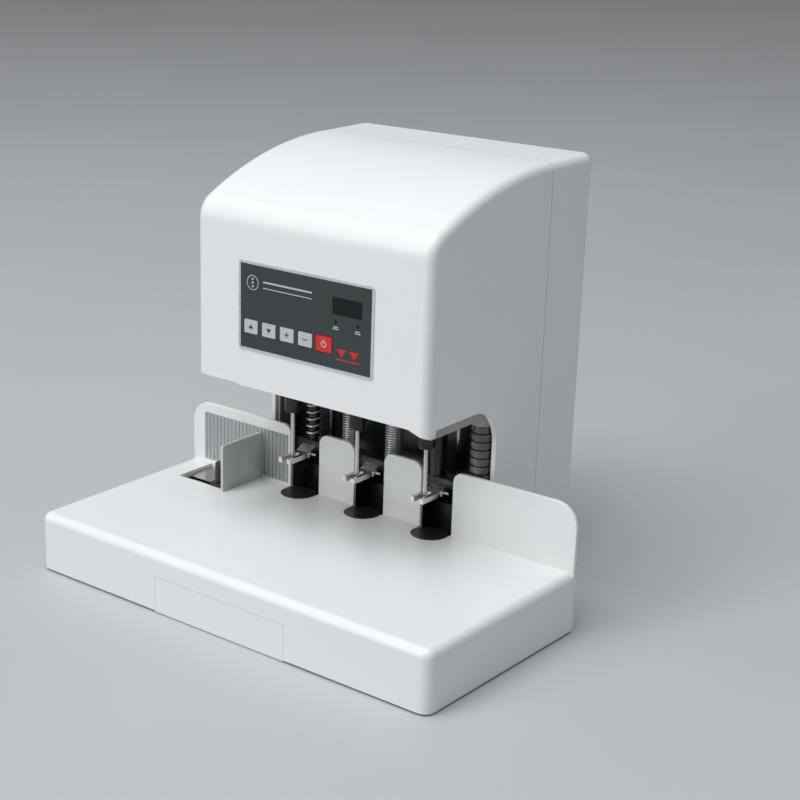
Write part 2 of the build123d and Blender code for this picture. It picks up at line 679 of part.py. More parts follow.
def guide_bracket():
    front = GUIDE_Y - BRACKET_W / 2
    rear = GUIDE_Y + BRACKET_W / 2
    foot_bottom = SLIDE_TOP + GAP
    foot_top = foot_bottom + BRACKET_FOOT_T
    foot = block(BRACKET_FOOT_LEFT, WELL_RIGHT - GAP, front, rear, foot_bottom, foot_top)
    foot -= post(CLAMP_X, GUIDE_Y, CLAMP_R + RUN, foot_bottom - OVER, foot_top + OVER)
    upright = block(
        GUIDE_X - BRACKET_UPRIGHT_T, GUIDE_X, front, rear, TABLE_TOP + GAP, BRACKET_TOP
    )
    return foot + upright


def guide_screw():
    knob_bottom = SLIDE_TOP + GAP + BRACKET_FOOT_T + CLAMP_LIFT
    head_top = SLIDE_BOTTOM - GAP
    screw = post(CLAMP_X, GUIDE_Y, CLAMP_R, head_top, knob_bottom)
    screw += post(CLAMP_X, GUIDE_Y, CLAMP_HEAD_R, head_top - CLAMP_HEAD_T, head_top)
    knob = post(CLAMP_X, GUIDE_Y, KNOB_R, knob_bottom, knob_bottom + KNOB_T)
    return screw + chamfer(knob.edges().group_by(Axis.Z)[-1], KNOB_R / 6)


# ---------------------------------------------------------------- hood and rear cover

def casing(inset, bottom):
    """The outline that hood and rear cover share, drawn in by a wall thickness."""
    front = HOOD_FRONT + inset
    rear = REAR_FACE - inset
    top = HEIGHT - inset
    crown_r = CROWN_R - inset
    centre_z = HEIGHT - CROWN_R
    brow_z = centre_z + sqrt(crown_r ** 2 - (CROWN_Y - front) ** 2)
    brow_angle = pi / 2 + (CROWN_Y - front) / crown_r / 2
    crown_mid = (CROWN_Y + crown_r * cos(brow_angle), centre_z + crown_r * sin(brow_angle))
    outline = Polyline((CROWN_Y, top), (rear, top), (rear, bottom), (front, bottom), (front, brow_z))
    outline += ThreePointArc((front, brow_z), crown_mid, (CROWN_Y, top))
    face = make_face(outline)
    brow = face.vertices().sort_by_distance((front, brow_z))[0]
    face = fillet(brow, BROW_R - inset)
    half = HOOD_HALF - inset
    body = extrude(Plane.YZ.offset(-half) * face, amount=2 * half)
    rim = body.faces().filter_by(Axis.X).edges().filter_by(lambda e: e.center().Z > bottom)
    back_top = body.edges().filter_by(Axis.X).sort_by_distance((0, rear, top))[0]
    return fillet(list(rim) + [back_top], HOOD_EDGE_R - inset)


def casing_shell():
    return casing(0, SHELL_BOTTOM) - casing(HOOD_WALL, SHELL_BOTTOM - OVER)


def throat():
    """The room for paper under the hood, with a rounded arch into each leg."""
    front = HOOD_FRONT - OVER
    below = SHELL_BOTTOM - OVER
    spring_z = HOOD_BOTTOM - ARCH_R
    turn = radians(45)
    arch_mid = (LEG_FRONT - ARCH_R + ARCH_R * cos(turn), spring_z + ARCH_R * sin(turn))
    outline = Polyline(
        (LEG_FRONT - ARCH_R, HOOD_BOTTOM), (front, HOOD_BOTTOM), (front, below),
        (LEG_FRONT, below), (LEG_FRONT, spring_z),
    )
    outline += ThreePointArc((LEG_FRONT, spring_z), arch_mid, (LEG_FRONT - ARCH_R, HOOD_BOTTOM))
    half = HOOD_HALF + OVER
    return extrude(Plane.YZ.offset(-half) * make_face(outline), amount=2 * half)


def key_places():
    """Left edge, width, lower edge and height of each key, from left to right."""
    places = [(x, KEY_W, KEY_BOTTOM, KEY_HEIGHT) for x in KEY_LEFTS]
    red_bottom = KEY_MID_Z - RED_KEY_HEIGHT / 2
    return places + [(RED_KEY_LEFT, RED_KEY_W, red_bottom, RED_KEY_HEIGHT)]


def panel_holes(y0, y1, key_gap):
    """The holes of keys, display and lights, through the membrane or the hood."""
    holes = block(DISPLAY_LEFT, DISPLAY_RIGHT, y0, y1, DISPLAY_BOTTOM, DISPLAY_TOP)
    for x in LIGHT_XS:
        holes += rod_y(x, y0, y1, LIGHT_Z, LIGHT_R + FIT)
    for x, width, z, height in key_places():
        holes += block(
            x - key_gap, x + width + key_gap, y0, y1, z - key_gap, z + height + key_gap
        )
    return holes


def front_hood():
    shell = casing_shell()
    behind = block(
        -HOOD_HALF - OVER, HOOD_HALF + OVER, SEAM_Y - SEAM_GAP / 2, DEPTH, 0, HEIGHT + OVER
    )
    rabbet_front = SEAM_Y + SEAM_GAP / 2 - TONGUE_LENGTH - GAP
    rabbet = casing(TONGUE_OUTER - GAP, SHELL_BOTTOM - OVER) & block(
        -HOOD_HALF, HOOD_HALF, rabbet_front, SEAM_Y, 0, HEIGHT
    )
    lip_points = [
        (LIP_START, HOOD_BOTTOM), (HOOD_HALF, HOOD_BOTTOM - LIP_DROP),
        (HOOD_HALF, HOOD_BOTTOM + OVER), (LIP_START, HOOD_BOTTOM + OVER),
    ]
    lip = front_prism(lip_points, HOOD_FRONT, HOOD_FRONT + LIP_DEPTH) & shell
    notch = block(
        -HOOD_HALF - OVER, NOTCH_X, HOOD_FRONT - OVER, HOOD_FRONT + HOOD_WALL,
        HOOD_BOTTOM - OVER, HOOD_BOTTOM + NOTCH_HEIGHT,
    )
    shell = shell - behind - rabbet - throat() - notch + lip
    return shell - panel_holes(HOOD_FRONT - OVER, HOOD_FRONT + HOOD_WALL + OVER, GAP)


def inlet_outline(margin, y0, y1):
    """The room of the inlet and the switch side by side."""
    return block(
        INLET_X - INLET_W / 2 - margin, SWITCH_X + ROCKER_W / 2 + ROCKER_ROOM + WELL_WALL + margin,
        y0, y1, INLET_Z - switch_half() - WELL_WALL - margin,
        INLET_Z + switch_half() + WELL_WALL + margin,
    )


def rear_cover():
    shell = casing_shell()
    ahead = block(
        -HOOD_HALF - OVER, HOOD_HALF + OVER, HOOD_FRONT - OVER, SEAM_Y + SEAM_GAP / 2, 0, HEIGHT + OVER
    )
    band = block(
        -HOOD_HALF, HOOD_HALF, SEAM_Y + SEAM_GAP / 2 - TONGUE_LENGTH, SEAM_Y + SEAM_GAP / 2,
        SHELL_BOTTOM, HEIGHT,
    )
    tongue = (casing(TONGUE_OUTER, SHELL_BOTTOM) - casing(HOOD_WALL, SHELL_BOTTOM - OVER)) & band
    shell = shell - ahead + tongue
    shell -= inlet_outline(FIT, REAR_INNER - OVER, REAR_FACE + OVER)
    for x in (-SCREW_X, SCREW_X):
        for z in SCREW_ZS:
            shell -= rod_y(x, REAR_INNER - OVER, REAR_FACE + OVER, z, SCREW_R + FIT)
    return shell


def cover_screws():
    screws = []
    for x in (-SCREW_X, SCREW_X):
        for z in SCREW_ZS:
            shank = rod_y(x, REAR_FACE - SCREW_LENGTH, REAR_FACE, z, SCREW_R)
            head = rod_y(x, REAR_FACE, REAR_FACE + FLANGE_T, z, SCREW_HEAD_R)
            head -= block(
                x - SCREW_HEAD_R, x + SCREW_HEAD_R, REAR_FACE + FLANGE_T / 2, DEPTH,
                z - SCREW_R / 4, z + SCREW_R / 4,
            )
            screws.append(shank + head)
    return Compound(screws)


# ---------------------------------------------------------------- inlet and switch

def switch_half():
    """Half the height of the rocker's well."""
    return ROCKER_HALF + ROCKER_ROOM


def power_inlet():
    front = REAR_FACE - INLET_BODY
    housing = inlet_outline(0, front, REAR_FACE)
    housing += inlet_outline(FLANGE_MARGIN, REAR_FACE, REAR_FACE + FLANGE_T)
    floor = REAR_FACE + FLANGE_T - INLET_DEPTH
    socket = block(
        INLET_X - INLET_W / 2 + INLET_WALL, INLET_X + INLET_W / 2 - INLET_WALL, floor, DEPTH,
        INLET_Z - INLET_H / 2 + INLET_WALL, INLET_Z + INLET_H / 2 - INLET_WALL,
    )
    housing -= socket
    blades = [(-BLADE_SPREAD, -BLADE_RISE), (0, BLADE_RISE), (BLADE_SPREAD, -BLADE_RISE)]
    for dx, dz in blades:
        x = INLET_X + dx
        z = INLET_Z + dz
        housing += block(
            x - BLADE_T / 2, x + BLADE_T / 2, floor - OVER, floor + BLADE_LENGTH,
            z - BLADE_W / 2, z + BLADE_W / 2,
        )
    half = ROCKER_W / 2 + RUN * 4
    housing -= block(
        SWITCH_X - half, SWITCH_X + half, ROCKER_Y - ROCKER_BACK - ROCKER_ROOM * 2, DEPTH,
        INLET_Z - switch_half(), INLET_Z + switch_half(),
    )
    housing -= rod_x(
        SWITCH_X - half - WELL_WALL / 2, SWITCH_X + half + WELL_WALL / 2,
        ROCKER_Y, INLET_Z, ROCKER_PIN_R + RUN,
    )
    return housing


def power_switch():
    points = [
        (-ROCKER_BACK, -ROCKER_HALF + ROCKER_ROOM), (ROCKER_TIP, -ROCKER_HALF),
        (ROCKER_WAIST, 0), (ROCKER_TIP, ROCKER_HALF), (-ROCKER_BACK, ROCKER_HALF - ROCKER_ROOM),
    ]
    rocker = side_prism(points, -ROCKER_W / 2, ROCKER_W / 2)
    pin_half = ROCKER_W / 2 + WELL_WALL / 2
    rocker += rod_x(-pin_half, pin_half, 0, 0, ROCKER_PIN_R)
    return Pos(SWITCH_X, ROCKER_Y, INLET_Z) * Rot(-ROCKER_TILT, 0, 0) * rocker


# ---------------------------------------------------------------- control panel

def panel_frame():
    ring = rounded_plate_y(
        PANEL_LEFT, PANEL_RIGHT, PANEL_BOTTOM, PANEL_TOP, BORDER_FACE, HOOD_FRONT, PANEL_CORNER_R
    )
    return ring - block(
        PANEL_LEFT + PANEL_BORDER, PANEL_RIGHT - PANEL_BORDER, BORDER_FACE - OVER, HOOD_FRONT + OVER,
        PANEL_BOTTOM + PANEL_BORDER, PANEL_TOP - PANEL_BORDER,
    )


def panel_membrane():
    sheet = block(
        PANEL_LEFT + PANEL_BORDER, PANEL_RIGHT - PANEL_BORDER, MEMBRANE_FACE, HOOD_FRONT,
        PANEL_BOTTOM + PANEL_BORDER, PANEL_TOP - PANEL_BORDER,
    )
    return sheet - panel_holes(MEMBRANE_FACE - OVER, HOOD_FRONT + OVER, GAP)


def display_window():
    return block(
        DISPLAY_LEFT, DISPLAY_RIGHT, MEMBRANE_FACE, BOARD_FACE, DISPLAY_BOTTOM, DISPLAY_TOP
    )


def status_lights():
    front = MEMBRANE_FACE - LIGHT_PROUD
    return Compound([rod_y(x, front, BOARD_FACE, LIGHT_Z, LIGHT_R) for x in LIGHT_XS])


def key(place):
    x, width, z, height = place
    front = MEMBRANE_FACE - KEY_PROUD
    return rounded_plate_y(x, x + width, z, z + height, front, front + KEY_DEPTH, KEY_CORNER_R)


def control_board():
    left = PANEL_LEFT + PANEL_BORDER
    right = PANEL_RIGHT - PANEL_BORDER
    bottom = PANEL_BOTTOM + PANEL_BORDER
    top = PANEL_TOP - PANEL_BORDER
    board = block(left, right, BOARD_FACE, BOARD_FACE + BOARD_T, bottom, top)
    edge = BOARD_POST_R * 2
    for x in (left + edge, right - edge):
        for z in (bottom + edge, top - edge):
            board += rod_y(x, BOARD_FACE - BOARD_STANDOFF, BOARD_FACE, z, BOARD_POST_R)
    return board


# ---------------------------------------------------------------- frame

def side_frame(side, column_front, arm_bottom):
    outline = [
        (FRAME_ARM_FRONT, arm_bottom), (column_front, arm_bottom),
        (column_front, PLATE_TOP), (FRAME_REAR, PLATE_TOP), (FRAME_REAR, FRAME_TOP),
        (FRAME_TOP_FRONT, FRAME_TOP), (FRAME_ARM_FRONT, FRAME_ARM_TOP),
    ]
    frame = side_prism(outline, FRAME_INNER, FRAME_OUTER)
    frame += block(
        FRAME_INNER - REAR_TAB_W, FRAME_INNER, FRAME_PLATE_REAR, FRAME_REAR,
        PLATE_TOP, FRAME_TOP,
    )
    for z in SCREW_ZS:
        frame += rod_y(SCREW_X, FRAME_REAR, REAR_INNER, z, STANDOFF_R)
        frame -= rod_y(SCREW_X, FRAME_REAR, REAR_INNER + OVER, z, SCREW_R + FIT)
    return frame if side > 0 else mirror(frame, about=Plane.YZ)


def inner_wall():
    upper = block(
        -FRAME_INNER, FRAME_INNER, WALL_FRONT, WALL_FRONT + WALL_T, GUARD_TOP - WALL_T, MID_BOTTOM
    )
    shelf = block(
        -FRAME_INNER, GUARD_RIGHT, GUARD_FRONT, WALL_FRONT, GUARD_TOP - WALL_T, GUARD_TOP
    )
    guard = block(
        -FRAME_INNER, GUARD_RIGHT, GUARD_FRONT, GUARD_FRONT + WALL_T, PLATE_TOP,
        GUARD_TOP - WALL_T,
    )
    return upper + shelf + guard


def wall_strips():
    strips = [
        block(
            x - STRIP_W / 2, x + STRIP_W / 2, WALL_FRONT - STRIP_DEPTH, WALL_FRONT,
            GUARD_TOP + STRIP_LIFT, MID_BOTTOM - STRIP_LIFT,
        )
        for x in STRIP_XS
    ]
    return Compound(strips)


def mid_plate():
    plate = block(
        -FRAME_INNER, FRAME_INNER, MID_FRONT, FRAME_PLATE_REAR, MID_BOTTOM, MID_TOP
    )
    plate -= post(LEFT_ROD_X, BAR_Y, LEFT_ROD_R + RUN, MID_BOTTOM - OVER, MID_TOP + OVER)
    plate -= post(RIGHT_ROD_X, BAR_Y, RIGHT_ROD_R + RUN, MID_BOTTOM - OVER, MID_TOP + OVER)
    plate -= post(0, FEED_Y, FEED_JOURNAL_R + RUN, MID_BOTTOM - OVER, MID_TOP + OVER)
    reach = NECK_R + GAP
    plate -= post(HOSE_X, HOSE_Y, reach, MID_BOTTOM - OVER, MID_TOP + OVER)
    return plate - block(
        HOSE_X, FRAME_OUTER, HOSE_Y - reach, HOSE_Y + reach, MID_BOTTOM - OVER, MID_TOP + OVER
    )


def top_plate():
    plate = block(
        -FRAME_INNER, FRAME_INNER, TOP_FRONT, FRAME_PLATE_REAR, TOP_BOTTOM, TOP_BOTTOM + TOP_T
    )
    return plate - post(0, FEED_Y, FEED_JOURNAL_R + RUN, TOP_BOTTOM - OVER, TOP_BOTTOM + TOP_T + OVER)


def guide_posts():
    return Compound([post(side * POST_X, POST_Y, POST_R, MID_TOP, TOP_BOTTOM) for side in (-1, 1)])


# ---------------------------------------------------------------- moving head

def head_plate():
    plate = block(-HEAD_HALF, HEAD_HALF, HEAD_FRONT, HEAD_REAR, HEAD_BOTTOM, HEAD_TOP)
    plate = fillet(plate.edges().filter_by(Axis.Z), HEAD_CORNER_R)
    low = HEAD_BOTTOM - BOSS_HEIGHT
    for x in DRILL_XS:
        plate += post(x, DRILL_Y, BOSS_R, low, HEAD_BOTTOM)
        plate -= post(x, DRILL_Y, SPINDLE_R + RUN, low - OVER, HEAD_TOP + OVER)
    for side in (-1, 1):
        plate -= post(side * POST_X, POST_Y, POST_R + RUN, low, HEAD_TOP + OVER)
    plate -= post(LEFT_ROD_X, BAR_Y, LEFT_ROD_R + ROD_CLEAR, low, HEAD_TOP + OVER)
    plate -= post(RIGHT_ROD_X, BAR_Y, RIGHT_ROD_R + ROD_CLEAR, low, HEAD_TOP + OVER)
    return plate - post(0, FEED_Y, NUT_R + FIT, low, HEAD_TOP + OVER)


def feed_nut():
    nut = post(0, FEED_Y, NUT_R, HEAD_BOTTOM, HEAD_TOP)
    nut += post(0, FEED_Y, NUT_FLANGE_R, HEAD_TOP, HEAD_TOP + NUT_FLANGE_T)
    return nut - post(0, FEED_Y, FEED_R + RUN, HEAD_BOTTOM - OVER, HEAD_TOP + NUT_FLANGE_T + OVER)


def feed_screw():
    low = MID_TOP + FEED_SHOULDER
    high = TOP_BOTTOM - FEED_SHOULDER
    screw = post(0, FEED_Y, FEED_R, low, high)
    screw += post(0, FEED_Y, FEED_JOURNAL_R, MID_BOTTOM, low)
    return screw + post(0, FEED_Y, FEED_JOURNAL_R, high, TOP_BOTTOM + TOP_T + FEED_SHAFT_DEPTH)


def feed_motor():
    low = TOP_BOTTOM + TOP_T
    motor = post(0, FEED_Y, FEED_MOTOR_R, low, low + FEED_MOTOR_HEIGHT)
    motor = chamfer(motor.edges().group_by(Axis.Z)[-1], FEED_JOURNAL_R / 2)
    return motor - post(0, FEED_Y, FEED_JOURNAL_R + RUN, low - OVER, low + FEED_SHAFT_DEPTH + OVER)


def motor_bracket():
    half = BRACKET_HALF
    plate = block(-half, half, MOTOR_Y - half, MOTOR_Y + half, BRACKET_BOTTOM, MOTOR_BOTTOM)
    offset = half - BRACKET_LEG_INSET
    for dx in (-offset, offset):
        for dy in (-offset, offset):
            plate += post(dx, MOTOR_Y + dy, BRACKET_LEG_R, HEAD_TOP, BRACKET_BOTTOM)
    plate -= post(0, MOTOR_Y, MOTOR_SHAFT_R + GAP, BRACKET_BOTTOM - OVER, MOTOR_BOTTOM + OVER)
    return plate - post(0, FEED_Y, NUT_FLANGE_R, BRACKET_BOTTOM - OVER, MOTOR_BOTTOM + OVER)


def drill_motor():
    motor = post(0, MOTOR_Y, MOTOR_R, MOTOR_BOTTOM, MOTOR_BOTTOM + MOTOR_HEIGHT)
    motor = chamfer(motor.edges().group_by(Axis.Z)[-1], MOTOR_SHAFT_R / 2)
    bore_top = BRACKET_BOTTOM + MOTOR_SHAFT_LENGTH + OVER
    return motor - post(0, MOTOR_Y, MOTOR_SHAFT_R + RUN, MOTOR_BOTTOM - OVER, bore_top)


def motor_pulley():
    pulley = post(0, MOTOR_Y, MOTOR_PULLEY_R, PULLEY_BOTTOM, PULLEY_TOP)
    top = BRACKET_BOTTOM + MOTOR_SHAFT_LENGTH
    return pulley + post(0, MOTOR_Y, MOTOR_SHAFT_R, PULLEY_TOP, top)


def belt_loop(extra):
    """The area inside a belt that runs round all four pulleys, a little off their rims."""
    circles = [Pos(x, DRILL_Y) * Circle(PULLEY_R + extra) for x in (DRILL_XS[0], DRILL_XS[-1])]
    circles.append(Pos(0, MOTOR_Y) * Circle(MOTOR_PULLEY_R + extra))
    low = PULLEY_BOTTOM + (PULLEY_HEIGHT - BELT_W) / 2
    edges = [edge for circle in circles for edge in circle.edges()]
    return extrude(Plane.XY.offset(low) * make_hull(edges), amount=BELT_W)


def drive_belt():
    return belt_loop(BELT_GAP + BELT_T) - belt_loop(BELT_GAP)


def spindle(x):
    bottom = CHUCK_TOP - SPINDLE_IN_CHUCK
    shaft = post(x, DRILL_Y, SPINDLE_R, bottom, PULLEY_TOP)
    shaft += post(x, DRILL_Y, PULLEY_HUB_R, HEAD_TOP + GAP, PULLEY_BOTTOM)
    shaft += post(x, DRILL_Y, PULLEY_R, PULLEY_BOTTOM, PULLEY_TOP)
    return shaft - post(x, DRILL_Y, DRILL_BORE_R, bottom - OVER, PULLEY_TOP + OVER)


def chuck(x):
    body = post(x, DRILL_Y, CHUCK_R, CHUCK_BOTTOM, CHUCK_TOP)
    ends = body.edges().filter_by(GeomType.CIRCLE)
    body = chamfer(ends, CHUCK_CHAMFER)
    body -= post(x, DRILL_Y, SPINDLE_R + FIT, CHUCK_TOP - SPINDLE_IN_CHUCK, CHUCK_TOP + OVER)
    return body - post(x, DRILL_Y, DRILL_R + FIT, CHUCK_BOTTOM - OVER, CHUCK_TOP)


def drill(x):
    top = CHUCK_BOTTOM + DRILL_IN_CHUCK
    tube = post(x, DRILL_Y, DRILL_R, DRILL_TIP, top)
    tube = chamfer(tube.edges().group_by(Axis.Z)[0], DRILL_BEVEL)
    return tube - post(x, DRILL_Y, DRILL_BORE_R, DRILL_TIP - OVER, top + OVER)


# ---------------------------------------------------------------- press bar

def press_bar():
    bar = block(
        -BAR_HALF, BAR_HALF, BAR_FRONT, BAR_FRONT + BAR_DEPTH, BAR_BOTTOM, BAR_TOP
    )
    return chamfer(bar.edges().filter_by(Axis.X).group_by(Axis.Z)[-1], 1.0)


def press_rods():
    return Compound([
        post(LEFT_ROD_X, BAR_Y, LEFT_ROD_R, BAR_TOP, ROD_TOP),
        post(RIGHT_ROD_X, BAR_Y, RIGHT_ROD_R, BAR_TOP, ROD_TOP),
    ])


def press_foot(x):
    """A fork that straddles one drill, on an inclined shank from the press bar."""
    top = FORK_BOTTOM + FORK_T
    fork = block(
        x - FORK_W / 2, x + FORK_W / 2, FORK_FRONT, FORK_REAR, FORK_BOTTOM, top
    )
    fork -= block(
        x - FORK_GAP / 2, x + FORK_GAP / 2, FORK_FRONT - OVER, FORK_THROAT,
        FORK_BOTTOM - OVER, top + OVER,
    )
    fork -= post(x, FORK_THROAT, FORK_GAP / 2, FORK_BOTTOM - OVER, top + OVER)
    shank_points = [
        (SHANK_START, FORK_BOTTOM), (FORK_REAR, FORK_BOTTOM), (BAR_FRONT, BAR_BOTTOM),
        (BAR_FRONT, SHANK_TOP), (SHANK_START, top),
    ]
    shank = side_prism(shank_points, x - SHANK_W / 2, x + SHANK_W / 2)
    pin = rod_x(
        x + SHANK_W / 2, x + SHANK_W / 2 + FORK_PIN_LENGTH,
        (SHANK_START + FORK_REAR) / 2 + FORK_PIN_R, FORK_BOTTOM + 2 * FORK_PIN_R, FORK_PIN_R,
    )
    return fork + shank + pin


def press_feet():
    return Compound([press_foot(x) for x in DRILL_XS])


# ---------------------------------------------------------------- springs

def helix_point(radius, pitch, turn):
    angle = 2 * pi * turn
    return Vector(radius * cos(angle), radius * sin(angle), pitch * turn)


def helix_tangent(radius, pitch, turn):
    angle = 2 * pi * turn
    return Vector(-radius * sin(angle), radius * cos(angle), pitch / (2 * pi)).normalized()


def biarc(start, start_dir, end, end_dir):
    """Two tangent arcs from start to end."""
    chord = end - start
    both = start_dir + end_dir
    a = both.dot(both) - 4
    b = -2 * chord.dot(both)
    c = chord.dot(chord)
    reach = (-b - sqrt(b * b - 4 * a * c)) / (2 * a)
    first = start + start_dir * reach
    second = end - end_dir * reach
    middle = (first + second) / 2
    return [
        TangentArc(start, middle, tangent=start_dir),
        TangentArc(middle, end, tangent=second - first),
    ]


def least_gap(radius, pitch, turns, wire_r):
    """The least gap between turns, measured on points half a turn or more apart."""
    count = int(turns * POINTS_PER_TURN)
    points = [helix_point(radius, pitch, n / POINTS_PER_TURN) for n in range(count + 1)]
    half = POINTS_PER_TURN // 2
    gap = min(
        (points[n] - points[m]).length
        for n in range(half, min(count + 1, 3 * POINTS_PER_TURN))
        for m in range(n - half + 1)
    )
    return gap - 2 * wire_r


def spring(name, x, outer_r, wire_r, pitch):
    """A coil spring between the press bar and the middle plate."""
    radius = outer_r - wire_r
    low = BAR_TOP + GAP + wire_r
    high = MID_BOTTOM - SPRING_SEAT - wire_r
    turns = int(2 * (high - low) / pitch) / 2
    pitch = (high - low) / turns
    edges = []
    for n in range(int(2 * turns)):
        t0 = n / 2
        t1 = t0 + 0.5
        edges += biarc(
            helix_point(radius, pitch, t0), helix_tangent(radius, pitch, t0),
            helix_point(radius, pitch, t1), helix_tangent(radius, pitch, t1),
        )
    path = Wire([edge for part in edges for edge in part.edges()])
    start = Plane(origin=helix_point(radius, pitch, 0), z_dir=helix_tangent(radius, pitch, 0))
    coil = sweep(start * Circle(wire_r), path=path)
    print(f"{name}: {turns} turns, least gap {least_gap(radius, pitch, turns, wire_r):.2f} mm")
    return Pos(x, BAR_Y, low) * coil


def return_springs():
    springs = [
        spring("fine spring", x, FINE_OUTER_R, FINE_WIRE_R, FINE_PITCH)
        for x in (FINE_LEFT_X, FINE_RIGHT_X)
    ]
    return Compound([solid for coil in springs for solid in coil.solids()])


# ---------------------------------------------------------------- hose

def chip_hose():
    """A ribbed hose: a ruled loft through four circles for each rib."""
    ribs = int((HOSE_TOP - HOSE_BOTTOM) / RIB_PITCH)
    pitch = (HOSE_TOP - HOSE_BOTTOM) / ribs
    rings = []
    for n in range(ribs):
        z = HOSE_BOTTOM + n * pitch
        rings += [
            (z, HOSE_GROOVE_R), (z + RIB_GROOVE, HOSE_GROOVE_R),
            (z + RIB_GROOVE + RIB_FLANK, HOSE_R), (z + pitch - RIB_FLANK, HOSE_R),
        ]
    rings.append((HOSE_TOP, HOSE_GROOVE_R))
    circles = [Plane((HOSE_X, HOSE_Y, z), x_dir=(1, 0, 0)) * Circle(r) for z, r in rings]
    print(f"hose: {ribs} ribs")
    return loft(circles, ruled=True) - post(
        HOSE_X, HOSE_Y, HOSE_BORE_R, HOSE_BOTTOM - OVER, HOSE_TOP + OVER
    )


def hose_collar():
    cuff = post(HOSE_X, HOSE_Y, COLLAR_R, HOSE_TOP, COLLAR_TOP)
    cuff += post(HOSE_X, HOSE_Y, NECK_R, COLLAR_TOP, NECK_TOP)
    cuff += block(
        HOSE_X, FRAME_INNER, HOSE_Y - NECK_R / 2, HOSE_Y + NECK_R / 2, MID_TOP, NECK_TOP
    )
    return cuff - post(HOSE_X, HOSE_Y, HOSE_BORE_R - OVER, HOSE_TOP - OVER, NECK_TOP + OVER)


# ---------------------------------------------------------------- all sub-parts

def main():
    os.makedirs("parts", exist_ok=True)
    save("base_cover", base_cover())
    save("base_plate", base_plate())
    save("rubber_feet", rubber_feet())
    save("anvil_bar", anvil_bar())
    save("ruler_label", ruler_label())
    save("chip_drawer", chip_drawer())
    save("slide_plate", slide_plate())
    save("guide_plate", guide_plate())
    save("guide_bracket", guide_bracket())
    save("guide_screw", guide_screw())
    save("front_hood", front_hood())
    save("rear_cover", rear_cover())
    save("cover_screws", cover_screws())
    save("power_inlet", power_inlet())
    save("power_switch", power_switch())
    save("panel_frame", panel_frame())
    save("panel_membrane", panel_membrane())
    save("display_window", display_window())
    save("status_lights", status_lights())
    save("control_board", control_board())
    for number, place in enumerate(key_places(), 1):
        save(f"key_{number}", key(place))
    save("side_frame_left", side_frame(-1, FRAME_LEFT_FRONT, LEFT_ARM_BOTTOM))
    save("side_frame_right", side_frame(1, FRAME_RIGHT_FRONT, RIGHT_ARM_BOTTOM))
    save("inner_wall", inner_wall())
    save("wall_strips", wall_strips())
    save("mid_plate", mid_plate())
    save("top_plate", top_plate())
    save("guide_posts", guide_posts())
    save("head_plate", head_plate())
    save("feed_nut", feed_nut())
    save("feed_screw", feed_screw())
    save("feed_motor", feed_motor())
    save("motor_bracket", motor_bracket())
    save("drill_motor", drill_motor())
    save("motor_pulley", motor_pulley())
    save("drive_belt", drive_belt())
    for side, x in zip(SIDES, DRILL_XS):
        save(f"pad_{side}", pad(x))
        save(f"spindle_{side}", spindle(x))
        save(f"chuck_{side}", chuck(x))
        save(f"drill_{side}", drill(x))
    save("press_bar", press_bar())
    save("press_rods", press_rods())
    save("press_feet", press_feet())
    save("spring_left", spring("wide spring", LEFT_ROD_X, WIDE_OUTER_R, WIDE_WIRE_R, WIDE_PITCH))
    save("return_springs", return_springs())
    save("chip_hose", chip_hose())
    save("hose_collar", hose_collar())


main()
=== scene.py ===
import json
import math

import bmesh
import bpy
from mathutils import Matrix, Vector


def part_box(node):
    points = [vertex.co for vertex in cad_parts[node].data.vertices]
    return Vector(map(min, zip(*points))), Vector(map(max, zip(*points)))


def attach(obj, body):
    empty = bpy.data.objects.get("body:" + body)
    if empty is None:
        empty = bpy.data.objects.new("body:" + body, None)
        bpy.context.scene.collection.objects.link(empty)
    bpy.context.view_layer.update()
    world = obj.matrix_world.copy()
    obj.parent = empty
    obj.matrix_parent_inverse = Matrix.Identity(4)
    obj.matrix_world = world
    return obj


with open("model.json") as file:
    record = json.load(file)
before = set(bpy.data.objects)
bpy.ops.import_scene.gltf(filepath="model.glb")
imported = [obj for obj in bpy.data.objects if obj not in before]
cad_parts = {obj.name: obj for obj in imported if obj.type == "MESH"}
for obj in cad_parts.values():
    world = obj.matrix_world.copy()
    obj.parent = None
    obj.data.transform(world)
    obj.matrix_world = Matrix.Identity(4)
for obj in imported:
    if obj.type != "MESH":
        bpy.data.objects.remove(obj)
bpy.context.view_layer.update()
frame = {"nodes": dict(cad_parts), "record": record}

MM = 0.001

# ---------------------------------------------------------------- places from the frame

NODES = frame["nodes"]
SIDES = ("left", "middle", "right")
LABEL_LOW, LABEL_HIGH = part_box("ruler_label")
MEMBRANE_LOW, MEMBRANE_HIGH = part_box("panel_membrane")
KEYS = [f"key_{n}" for n in range(1, 6)]

# ---------------------------------------------------------------- sizes of the printed marks

PRINT_T = 0.12 * MM         # thickness of printed marks
PRINT_LIFT = 0.02 * MM      # printed marks stand this far off the face that carries them

# ruler: lines and numbers
RULE_STEP = 5 * MM          # spacing of the ruler's lines
RULE_SHIFT = 1.0            # added to X, in metres, so that it is above zero on the label
RULE_LINE_HALF = 0.11       # half a line's width, as a share of the spacing
NUMBER_STEP = 2 * RULE_STEP
NUMBER_HEIGHT = 2.2 * MM
NUMBER_LIFT = 3.0 * MM      # above the label's lower edge

# digits, as shares of their height
STROKE = 0.16
DIGIT_W = 0.55
DIGIT_GAP = 0.22
SEGMENTS = {
    "0": "abcdef", "1": "bc", "2": "abged", "3": "abgcd", "4": "fgbc",
    "5": "afgcd", "6": "afgedc", "7": "abc", "8": "abcdefg", "9": "abcdfg",
}

